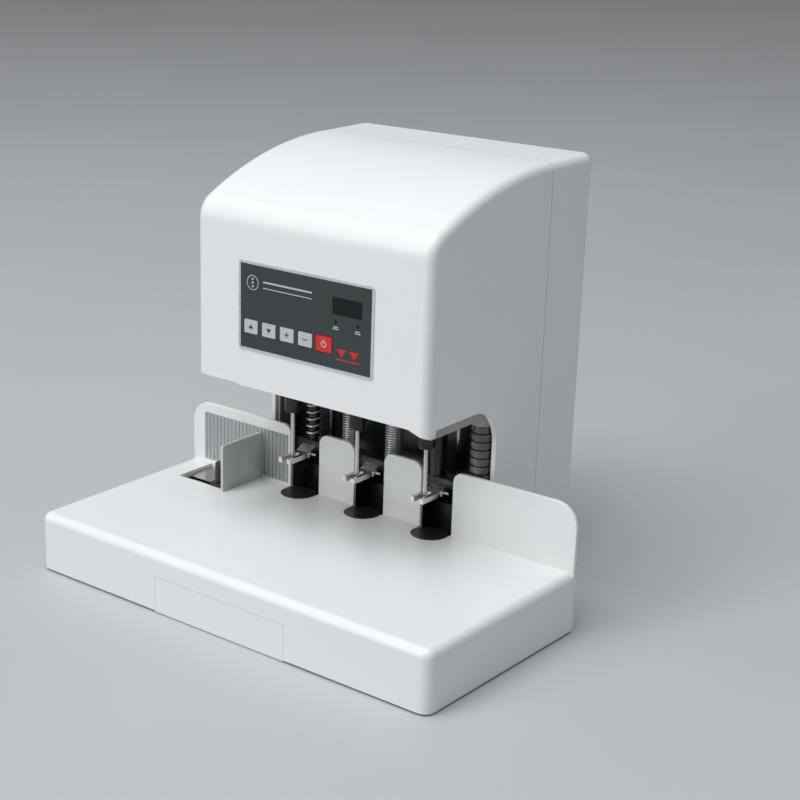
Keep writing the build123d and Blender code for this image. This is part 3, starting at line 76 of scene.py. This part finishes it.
# icons on the keys
KEY_ICON = 0.22             # half an icon's size, as a share of the key's height
KEY_STROKE = 0.28           # a stroke's width, as a share of half the icon's size
KEY_STEM = 1.35             # the top of the stem through the ring, as a share of the same
ARROW_BASE = 0.6            # an arrow's base and tip from its middle, as shares of its half width
ARROW_TIP = 0.8
RING_STEPS = 28
DOT_STEPS = 20

# marks on the membrane, from its left edge and from its top or bottom edge
ICON_ACROSS = 14.4 * MM
ICON_DOWN = 16.8 * MM
ICON_R = 7.0 * MM
ICON_LINE = 0.7 * MM
ICON_DOT_R = 1.1 * MM
ICON_DOT_PITCH = 3.4 * MM
TITLE_START = 27 * MM
TITLE_END = 84 * MM
TITLE_BARS = ((15.2 * MM, 13.6 * MM), (20.4 * MM, 19.6 * MM))   # lower and upper edge
ARROWS_ACROSS = (119.0 * MM, 133.0 * MM)
ARROWS_UP = 16.0 * MM
ARROWS_HALF = 5.2 * MM
UNDERLINE_START = 113 * MM
UNDERLINE_END = 139 * MM
UNDERLINE_LOW = 9.0 * MM
UNDERLINE_HIGH = 10.2 * MM

# bars under the status lights: drop below the light, and half the length
LIGHT_BARS = ((3.2 * MM, 2.6 * MM), (5.0 * MM, 3.2 * MM))
LIGHT_BAR_HALF = 0.45 * MM

# ---------------------------------------------------------------- sizes of the small hardware

# set screws in the chucks
SCREW_LIFTS = {"low": 7.0 * MM, "high": 15.0 * MM}   # above the chuck's lower end
SCREW_R = 1.6 * MM
SCREW_PROUD = 0.25 * MM
SCREW_DEPTH = 0.6 * MM
SCREW_EDGE = 0.1 * MM
SOCKET_R = 0.8 * MM
SOCKET_FLOOR_R = 0.7 * MM
SOCKET_DEPTH = 0.3 * MM
SCREW_STEPS = 20

# ribs round the thumb screw's knob
GRIP_COUNT = 24
GRIP_BOTTOM = 16.5 * MM     # both below the knob's top
GRIP_TOP = 1.5 * MM
# a rib's corners in order: depth under the knob's surface, half width, side
GRIP_CORNERS = (
    (0.3 * MM, 0.45 * MM, -1), (0.3 * MM, 0.45 * MM, 1),
    (0.02 * MM, 0.25 * MM, 1), (0.02 * MM, 0.25 * MM, -1),
)

# ---------------------------------------------------------------- floor, light and camera values

CAMERA_AZIMUTH = 41.46
CAMERA_ELEVATION = 18.98
CAMERA_ROLL = 0.22
CAMERA_PLACE = (0.9677, -1.2341, 0.6809)
CAMERA_LENS = 79.24
CAMERA_SHIFT = (0.185, 0.044)
CAMERA_CLIP_END = 50.0

FLOOR_HALF = 12.0

LIGHT_TARGET = (0, 0, 0.2)
# name, place, length of its side in metres, watts, colour
LIGHTS = (
    ("key", (-2.0, -4.8, 2.5), 3.0, 106.0, (1.0, 0.99, 0.98)),
    ("top", (-0.2, -1.4, 4.8), 4.0, 215.0, (0.95, 0.98, 1.0)),
    ("side", (3.4, -0.6, 1.4), 1.6, 2.0, (0.95, 0.98, 1.0)),
)
WORLD_COLOUR = (0.88, 0.90, 0.92, 1.0)
WORLD_STRENGTH = 0.27

# ---------------------------------------------------------------- node helpers

NOISE_ROUGHNESS = 0.55
NOISE_LOW = 0.3             # most of a noise lies between these two
NOISE_HIGH = 0.7
MIX_FIRST = 6               # colour sockets of the mix node
MIX_SECOND = 7
MIX_RESULT = 2


class Graph:
    """A short way to write a material's node graph."""

    def __init__(self, name):
        self.material = bpy.data.materials.new(name)
        self.material.use_nodes = True
        self.tree = self.material.node_tree
        self.shader = self.tree.nodes["Principled BSDF"]
        self.coords = self.add("ShaderNodeTexCoord").outputs["Object"]

    def add(self, kind, **settings):
        node = self.tree.nodes.new(kind)
        for key, value in settings.items():
            setattr(node, key, value)
        return node

    def link(self, source, target):
        self.tree.links.new(source, target)

    def noise(self, scale, detail=3.0, stretch=(1, 1, 1)):
        mapping = self.add("ShaderNodeMapping")
        mapping.inputs["Scale"].default_value = stretch
        self.link(self.coords, mapping.inputs["Vector"])
        noise = self.add("ShaderNodeTexNoise")
        noise.inputs["Scale"].default_value = scale
        noise.inputs["Detail"].default_value = detail
        noise.inputs["Roughness"].default_value = NOISE_ROUGHNESS
        self.link(mapping.outputs["Vector"], noise.inputs["Vector"])
        return noise.outputs["Fac"]

    def remap(self, noise, low, high):
        """A noise brought between low and high."""
        node = self.add("ShaderNodeMapRange")
        node.inputs["From Min"].default_value = NOISE_LOW
        node.inputs["From Max"].default_value = NOISE_HIGH
        node.inputs["To Min"].default_value = low
        node.inputs["To Max"].default_value = high
        self.link(noise, node.inputs["Value"])
        return node.outputs["Result"]

    def maths(self, operation, first, second=None):
        node = self.add("ShaderNodeMath", operation=operation)
        for socket, value in zip(node.inputs, (first, second)):
            if value is None:
                continue
            if isinstance(value, (int, float)):
                socket.default_value = value
            else:
                self.link(value, socket)
        return node.outputs["Value"]

    def blend(self, factor, first, second):
        node = self.add("ShaderNodeMix", data_type="RGBA")
        self.link(factor, node.inputs["Factor"])
        for number, value in ((MIX_FIRST, first), (MIX_SECOND, second)):
            socket = node.inputs[number]
            if isinstance(value, (tuple, list)):
                socket.default_value = (*value[:3], 1.0)
            else:
                self.link(value, socket)
        return node.outputs[MIX_RESULT]

    def wander(self, noise, first, second):
        """A colour that goes from first to second with a noise."""
        return self.blend(self.remap(noise, 0.0, 1.0), first, second)

    def axis(self, letter):
        split = self.add("ShaderNodeSeparateXYZ")
        self.link(self.coords, split.inputs[0])
        return split.outputs[letter]

    def bump(self, height, strength, distance):
        node = self.add("ShaderNodeBump")
        node.inputs["Strength"].default_value = strength
        node.inputs["Distance"].default_value = distance
        self.link(height, node.inputs["Height"])
        self.link(node.outputs["Normal"], self.shader.inputs["Normal"])

    def set(self, **values):
        sockets = {socket.name.lower(): socket for socket in self.shader.inputs}
        for key, value in values.items():
            sockets[key.replace("_", " ")].default_value = value

    def drive(self, socket, value):
        self.link(value, self.shader.inputs[socket])


def shade(colour, factor):
    return tuple(min(1.0, channel * factor) for channel in colour)


def surface(
    name, colour, rough, metallic=0.0, mottle=0.05, grain=900.0, relief=0.02,
    smear=(1, 1, 1), smear_scale=45.0, rough_spread=0.06, **sockets,
):
    """A finish with soft mottling, a fine grain and uneven roughness."""
    g = Graph(name)
    soft = g.noise(smear_scale, detail=4.0, stretch=smear)
    g.drive("Base Color", g.wander(soft, shade(colour, 1 - mottle), shade(colour, 1 + mottle)))
    g.drive("Roughness", g.remap(soft, rough - rough_spread, rough + rough_spread))
    g.bump(g.noise(grain, detail=2.0, stretch=smear), relief, distance=0.2 * MM)
    g.set(metallic=metallic, **sockets)
    return g.material


# ---------------------------------------------------------------- materials

SCRATCH_STRETCH = 24.0

# colour, axis that the scratches run along, roughness
BRUSHED_METALS = {
    "zinc_steel": ((0.52, 0.53, 0.54), "X", 0.34),
    "polished_steel": ((0.50, 0.505, 0.50), "Z", 0.22),
    "silver_border": ((0.70, 0.71, 0.73), "X", 0.28),
    "cast_aluminium": ((0.56, 0.57, 0.58), "X", 0.36),
    "brass": ((0.62, 0.45, 0.18), "Z", 0.28),
    "nickel_steel": ((0.70, 0.69, 0.67), "Y", 0.3),
}

PLAIN_FINISHES = {
    "black_rubber": dict(
        colour=(0.016, 0.016, 0.017), rough=0.7, mottle=0.2, grain=700.0, relief=0.15,
    ),
    "black_plastic": dict(
        colour=(0.014, 0.015, 0.016), rough=0.42, mottle=0.15, grain=1600.0, relief=0.12,
    ),
    "dark_display": dict(
        colour=(0.005, 0.003, 0.003), rough=0.3, mottle=0.2, grain=300.0, relief=0.01,
        specular_ior_level=0.25,
    ),
    "green_board": dict(colour=(0.01, 0.11, 0.04), rough=0.4, mottle=0.2),
    "light_key": dict(
        colour=(0.50, 0.51, 0.52), rough=0.42, mottle=0.03, grain=2400.0, relief=0.08,
    ),
    "red_key": dict(
        colour=(0.60, 0.012, 0.010), rough=0.4, mottle=0.06, grain=2400.0, relief=0.08,
    ),
    "grey_steel": dict(
        colour=(0.34, 0.345, 0.35), rough=0.42, metallic=0.35, mottle=0.08, grain=500.0,
        relief=0.06,
    ),
    "black_steel": dict(
        colour=(0.012, 0.012, 0.013), rough=0.3, mottle=0.3, grain=400.0, relief=0.06,
    ),
    "black_oxide": dict(
        colour=(0.022, 0.022, 0.023), rough=0.24, metallic=0.4, mottle=0.25, grain=800.0,
        relief=0.06,
    ),
    "spring_steel": dict(
        colour=(0.72, 0.72, 0.70), rough=0.24, metallic=0.75, mottle=0.2, grain=900.0,
        relief=0.04,
    ),
    "white_collar": dict(
        colour=(0.36, 0.37, 0.36), rough=0.4, mottle=0.1, grain=600.0, relief=0.05,
    ),
}


def cover_material():
    """Smooth off-white paint with a faint orange peel and a little dust."""
    g = Graph("white_cover")
    cloud = g.noise(9.0, detail=5.0)
    clean = (0.80, 0.815, 0.82)
    dusty = (0.785, 0.80, 0.805)
    g.drive("Base Color", g.wander(cloud, clean, dusty))
    g.drive("Roughness", g.remap(g.noise(14.0), low=0.30, high=0.38))
    g.bump(g.noise(900.0, detail=1.0), strength=0.03, distance=0.04 * MM)
    g.set(coat_weight=0.12, coat_roughness=0.2, specular_ior_level=0.4)
    return g.material


def brushed_material(name, colour, along, rough):
    """Metal with fine scratches along one axis."""
    stretch = tuple(1.0 if letter == along else SCRATCH_STRETCH for letter in "XYZ")
    return surface(
        name, colour, rough, metallic=1.0, mottle=0.08, grain=160.0, relief=0.05,
        smear=stretch, smear_scale=28.0, rough_spread=0.08,
    )


def label_material():
    """Satin grey label with upright ruled lines."""
    g = Graph("grey_label")
    offset = g.maths("ADD", g.axis("X"), RULE_SHIFT)
    phase = g.maths("FRACT", g.maths("DIVIDE", offset, RULE_STEP))
    away = g.maths("ABSOLUTE", g.maths("SUBTRACT", phase, 0.5))
    line = g.maths("LESS_THAN", away, RULE_LINE_HALF)
    cloud = g.noise(30.0, stretch=(1, 1, 0.2))
    ground = g.wander(cloud, (0.42, 0.43, 0.44), (0.50, 0.51, 0.52))
    g.drive("Base Color", g.blend(line, ground, (0.20, 0.21, 0.22)))
    g.drive("Roughness", g.remap(g.noise(80.0), low=0.3, high=0.42))
    g.bump(g.noise(1200.0), strength=0.02, distance=0.1 * MM)
    g.set(metallic=0.35)
    return g.material


def frosted_material():
    """Clear plastic with a matt face, cloudy rather than see-through."""
    g = Graph("frosted_plastic")
    cloud = g.noise(35.0, detail=4.0)
    g.drive("Base Color", g.wander(cloud, (0.60, 0.62, 0.61), (0.72, 0.74, 0.73)))
    g.drive("Roughness", g.remap(g.noise(300.0), low=0.42, high=0.55))
    g.bump(g.noise(1500.0), strength=0.06, distance=0.1 * MM)
    g.set(transmission_weight=0.25, ior=1.49)
    return g.material


def membrane_material():
    """Dark grey film with a fine texture."""
    g = Graph("grey_membrane")
    cloud = g.noise(22.0, detail=4.0)
    g.drive("Base Color", g.wander(cloud, (0.020, 0.030, 0.031), (0.025, 0.036, 0.037)))
    g.drive("Roughness", g.remap(g.noise(240.0), low=0.36, high=0.46))
    g.bump(g.noise(2600.0, detail=1.0), strength=0.08, distance=0.05 * MM)
    return g.material


def hose_material():
    """Glossy black plastic, a little worn, with its colour lifted towards grey as a painted sheen
    for the ribs' highlights.
    """
    g = Graph("hose_plastic")
    wear_and_sheen = g.noise(60.0, detail=5.0)
    # painted sheen: both colours are lighter than the other black plastics to stand in for the
    # gloss highlights on the ribs; the noise varies them as wear
    g.drive("Base Color", g.wander(wear_and_sheen, (0.026, 0.027, 0.028), (0.050, 0.051, 0.053)))
    g.drive("Roughness", g.remap(wear_and_sheen, low=0.12, high=0.26))
    g.bump(g.noise(500.0), strength=0.05, distance=0.2 * MM)
    g.set(coat_weight=0.7, coat_roughness=0.12, specular_ior_level=0.8)
    return g.material


def floor_material():
    """Pale floor, almost even."""
    g = Graph("floor")
    cloud = g.noise(1.4, detail=3.0)
    g.drive("Base Color", g.wander(cloud, (0.47, 0.48, 0.49), (0.50, 0.51, 0.52)))
    g.set(roughness=0.55)
    return g.material


def all_materials():
    """The object's materials by slot."""
    materials = {
        "white_cover": cover_material(),
        "grey_label": label_material(),
        "frosted_plastic": frosted_material(),
        "grey_membrane": membrane_material(),
        "hose_plastic": hose_material(),
    }
    for name, (colour, along, rough) in BRUSHED_METALS.items():
        materials[name] = brushed_material(name, colour, along, rough)
    for name, finish in PLAIN_FINISHES.items():
        materials[name] = surface(name, **finish)
    return materials


def dress_nodes(materials):
    """Every CAD node takes the material of its slot."""
    for entry in frame["record"]["subparts"]:
        mesh = NODES[entry["node"]].data
        mesh.materials.clear()
        mesh.materials.append(materials[entry["material_slot"]])


# ---------------------------------------------------------------- mesh helpers

def new_piece(name, mesh, material, body):
    """A piece of the object that rides on a CAD body."""
    piece = bpy.data.objects.new(name, mesh)
    bpy.context.scene.collection.objects.link(piece)
    mesh.materials.append(material)
    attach(piece, body)
    return piece


def add_sides(bm, first, second):
    """Faces between two rings of as many corners."""
    count = len(first)
    for n in range(count):
        m = (n + 1) % count
        bm.faces.new((first[n], first[m], second[m], second[n]))


def add_prism(bm, back_points, front_points):
    """A closed prism between two outlines."""
    back = [bm.verts.new(point) for point in back_points]
    front = [bm.verts.new(point) for point in front_points]
    bm.faces.new(back[::-1])
    bm.faces.new(front)
    add_sides(bm, back, front)


def closed_mesh(name, bm):
    """The mesh of closed shapes, with its normals outwards."""
    bmesh.ops.recalc_face_normals(bm, faces=bm.faces)
    mesh = bpy.data.meshes.new(name)
    bm.to_mesh(mesh)
    bm.free()
    return mesh


def prism_mesh(name, outlines, place, thickness):
    """Flat outlines, each made a thin prism. place turns (u, v, depth) into a point."""
    bm = bmesh.new()
    for outline in outlines:
        add_prism(
            bm,
            [place(u, v, 0.0) for u, v in outline],
            [place(u, v, thickness) for u, v in outline],
        )
    return closed_mesh(name, bm)


def bar(u0, u1, v0, v1):
    return [(u0, v0), (u1, v0), (u1, v1), (u0, v1)]


def facing_front(face_y):
    """Points on a face that looks along -Y."""
    return lambda u, v, depth: Vector((u, face_y - PRINT_LIFT - depth, v))


def printed(name, outlines, face_y, materials, body, slot):
    """Marks on a face that looks along -Y, in the material of their slot."""
    mesh = prism_mesh(name, outlines, facing_front(face_y), PRINT_T)
    return new_piece(name, mesh, materials[slot], body)


# ---------------------------------------------------------------- plain numbers

def segment_bars(letter, u, v, height):
    """One stroke of a seven-stroke digit whose lower left corner is (u, v)."""
    width = DIGIT_W * height
    s = STROKE * height
    middle = height / 2
    places = {
        "a": bar(u, u + width, v + height - s, v + height),
        "b": bar(u + width - s, u + width, v + middle, v + height),
        "c": bar(u + width - s, u + width, v, v + middle),
        "d": bar(u, u + width, v, v + s),
        "e": bar(u, u + s, v, v + middle),
        "f": bar(u, u + s, v + middle, v + height),
        "g": bar(u, u + width, v + middle - s / 2, v + middle + s / 2),
    }
    return places[letter]


def number_outlines(text, centre_u, v, height):
    """Strokes of a plain number, centred on centre_u."""
    pitch = height * (DIGIT_W + DIGIT_GAP)
    start = centre_u - pitch * len(text) / 2 + height * DIGIT_GAP / 2
    return [
        segment_bars(letter, start + n * pitch, v, height)
        for n, digit in enumerate(text)
        for letter in SEGMENTS[digit]
    ]


def ruler_numbers(materials):
    """Small numbers near the foot of the label, counted from its right end."""
    outlines = []
    count = int((LABEL_HIGH.x - LABEL_LOW.x) / NUMBER_STEP)
    for n in range(1, count):
        u = LABEL_HIGH.x - n * NUMBER_STEP
        outlines += number_outlines(str(n), u, LABEL_LOW.z + NUMBER_LIFT, NUMBER_HEIGHT)
    printed("ruler_numbers", outlines, LABEL_LOW.y, materials, "base", "black_plastic")


# ---------------------------------------------------------------- control panel marks

def ring_outlines(u, v, radius, width):
    outlines = []
    for n in range(RING_STEPS):
        a = 2 * math.pi * n / RING_STEPS
        b = 2 * math.pi * (n + 1) / RING_STEPS
        corners = [(radius, a), (radius, b), (radius - width, b), (radius - width, a)]
        outlines.append([(u + r * math.cos(t), v + r * math.sin(t)) for r, t in corners])
    return outlines


def disc_outline(u, v, radius):
    turn = 2 * math.pi / DOT_STEPS
    return [
        (u + radius * math.cos(n * turn), v + radius * math.sin(n * turn))
        for n in range(DOT_STEPS)
    ]


def arrow_outline(u, v, size, up):
    sign = 1 if up else -1
    base = v - sign * size * ARROW_BASE
    return [(u - size, base), (u + size, base), (u, v + sign * size * ARROW_TIP)]


def key_marks(name):
    """A plain icon for a key, drawn round its middle, and the Y of the key's face."""
    low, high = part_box(name)
    u = (low.x + high.x) / 2
    v = (low.z + high.z) / 2
    size = (high.z - low.z) * KEY_ICON
    thin = size * KEY_STROKE
    minus = bar(u - size, u + size, v - thin / 2, v + thin / 2)
    upright = bar(u - thin / 2, u + thin / 2, v - size, v + size)
    stem = bar(u - thin / 2, u + thin / 2, v, v + size * KEY_STEM)
    marks = {
        "key_1": [arrow_outline(u, v, size, True)],
        "key_2": [arrow_outline(u, v, size, False)],
        "key_3": [minus, upright],
        "key_4": [minus],
        "key_5": ring_outlines(u, v, size, thin) + [stem],
    }
    return marks[name], low.y


def panel_marks(materials):
    """Icons on the keys, and the ring, bars and arrows on the membrane."""
    for number, name in enumerate(KEYS, 1):
        outlines, face_y = key_marks(name)
        ink = "light_key" if name == "key_5" else "black_plastic"
        printed(f"{name}_mark", outlines, face_y, materials, f"button_{number}", ink)
    face_y = MEMBRANE_LOW.y
    left = MEMBRANE_LOW.x
    bottom = MEMBRANE_LOW.z
    top = MEMBRANE_HIGH.z
    u = left + ICON_ACROSS
    v = top - ICON_DOWN
    pale = ring_outlines(u, v, ICON_R, ICON_LINE)
    pale += [disc_outline(u, v + n * ICON_DOT_PITCH, ICON_DOT_R) for n in (-1, 0, 1)]
    pale += [
        bar(left + TITLE_START, left + TITLE_END, top - low, top - high)
        for low, high in TITLE_BARS
    ]
    printed("panel_icon", pale, face_y, materials, "base", "light_key")
    red = [
        arrow_outline(left + across, bottom + ARROWS_UP, ARROWS_HALF, False)
        for across in ARROWS_ACROSS
    ]
    red += [bar(
        left + UNDERLINE_START, left + UNDERLINE_END,
        bottom + UNDERLINE_LOW, bottom + UNDERLINE_HIGH,
    )]
    printed("panel_arrows", red, face_y, materials, "base", "red_key")


def light_marks(materials):
    """Two short plain bars under each light."""
    low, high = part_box("status_lights")
    radius = (high.z - low.z) / 2
    outlines = []
    for u in (low.x + radius, high.x - radius):
        for drop, half in LIGHT_BARS:
            v = low.z - drop
            outlines.append(bar(u - half, u + half, v - LIGHT_BAR_HALF, v + LIGHT_BAR_HALF))
    printed("light_marks", outlines, MEMBRANE_LOW.y, materials, "base", "light_key")


# ---------------------------------------------------------------- small hardware

def lathe_mesh(name, profile, centre, steps):
    """A shape turned about Y. The profile lists (radius, Y from centre) from end to end."""
    bm = bmesh.new()
    rings = []
    for radius, along in profile:
        ring = []
        for n in range(steps):
            turn = 2 * math.pi * n / steps
            offset = Vector((radius * math.cos(turn), along, radius * math.sin(turn)))
            ring.append(bm.verts.new(centre + offset))
        rings.append(ring)
    for low, high in zip(rings, rings[1:]):
        add_sides(bm, low, high)
    bm.faces.new(rings[0][::-1])
    bm.faces.new(rings[-1])
    return closed_mesh(name, bm)


def set_screws(materials):
    """Two socket screws in the front of each chuck, sunk almost flush."""
    profile = [
        (SCREW_R, SCREW_DEPTH), (SCREW_R, -SCREW_PROUD + SCREW_EDGE),
        (SCREW_R - SCREW_EDGE, -SCREW_PROUD), (SOCKET_R, -SCREW_PROUD),
        (SOCKET_FLOOR_R, SOCKET_DEPTH),
    ]
    material = materials["black_oxide"]
    for side in SIDES:
        low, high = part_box(f"chuck_{side}")
        x = (low.x + high.x) / 2
        for place, lift in SCREW_LIFTS.items():
            name = f"set_screw_{side}_{place}"
            mesh = lathe_mesh(name, profile, Vector((x, low.y, low.z + lift)), SCREW_STEPS)
            new_piece(name, mesh, material, f"{side}_drill_spindle")


def knob_grips(materials):
    """Ribs round the thumb screw's knob."""
    low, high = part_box("guide_screw")
    x = (low.x + high.x) / 2
    y = (low.y + high.y) / 2
    radius = (high.x - low.x) / 2
    bm = bmesh.new()
    for n in range(GRIP_COUNT):
        turn = 2 * math.pi * n / GRIP_COUNT
        out = Vector((math.cos(turn), math.sin(turn), 0))
        across = Vector((-math.sin(turn), math.cos(turn), 0))
        corners = [
            out * (radius - depth) + across * half * side for depth, half, side in GRIP_CORNERS
        ]
        bottom, top = (
            [Vector((x, y, z)) + corner for corner in corners]
            for z in (high.z - GRIP_BOTTOM, high.z - GRIP_TOP)
        )
        add_prism(bm, bottom, top)
    mesh = closed_mesh("knob_grips", bm)
    new_piece("knob_grips", mesh, materials["black_plastic"], "clamp_screw")


# ---------------------------------------------------------------- floor, light and camera

def make_camera():
    a = math.radians(CAMERA_AZIMUTH)
    e = math.radians(CAMERA_ELEVATION)
    r = math.radians(CAMERA_ROLL)
    back = Vector((math.sin(a) * math.cos(e), -math.cos(a) * math.cos(e), math.sin(e)))
    right = Vector((math.cos(a), math.sin(a), 0.0))
    up = back.cross(right)
    rolled_right = math.cos(r) * right + math.sin(r) * up
    rolled_up = -math.sin(r) * right + math.cos(r) * up
    turn = Matrix((rolled_right, rolled_up, back)).transposed()
    camera = bpy.data.objects.new("camera", bpy.data.cameras.new("camera"))
    camera.matrix_world = Matrix.Translation(CAMERA_PLACE) @ turn.to_4x4()
    camera.data.lens = CAMERA_LENS
    camera.data.shift_x, camera.data.shift_y = CAMERA_SHIFT
    camera.data.clip_end = CAMERA_CLIP_END
    bpy.context.scene.collection.objects.link(camera)
    bpy.context.scene.camera = camera


def make_floor(material):
    mesh = bpy.data.meshes.new("floor")
    bm = bmesh.new()
    bmesh.ops.create_grid(bm, x_segments=2, y_segments=2, size=FLOOR_HALF)
    bm.to_mesh(mesh)
    bm.free()
    floor = bpy.data.objects.new("floor", mesh)
    bpy.context.scene.collection.objects.link(floor)
    mesh.materials.append(material)


def area_light(name, place, side, power, colour):
    """A square light that looks at the object."""
    lamp = bpy.data.lights.new(name, "AREA")
    lamp.shape = "RECTANGLE"
    lamp.size = side
    lamp.size_y = side
    lamp.energy = power
    lamp.color = colour
    light = bpy.data.objects.new(name, lamp)
    light.location = place
    direction = Vector(LIGHT_TARGET) - Vector(place)
    light.rotation_euler = direction.to_track_quat("-Z", "Y").to_euler()
    bpy.context.scene.collection.objects.link(light)


def make_lights():
    for light in LIGHTS:
        area_light(*light)
    world = bpy.data.worlds.new("studio")
    world.use_nodes = True
    background = world.node_tree.nodes["Background"]
    background.inputs["Color"].default_value = WORLD_COLOUR
    background.inputs["Strength"].default_value = WORLD_STRENGTH
    bpy.context.scene.world = world
    bpy.context.scene.view_settings.view_transform = "Standard"


# ---------------------------------------------------------------- the scene

def main():
    materials = all_materials()
    dress_nodes(materials)
    ruler_numbers(materials)
    panel_marks(materials)
    light_marks(materials)
    set_screws(materials)
    knob_grips(materials)
    make_floor(floor_material())
    make_lights()
    make_camera()


main()
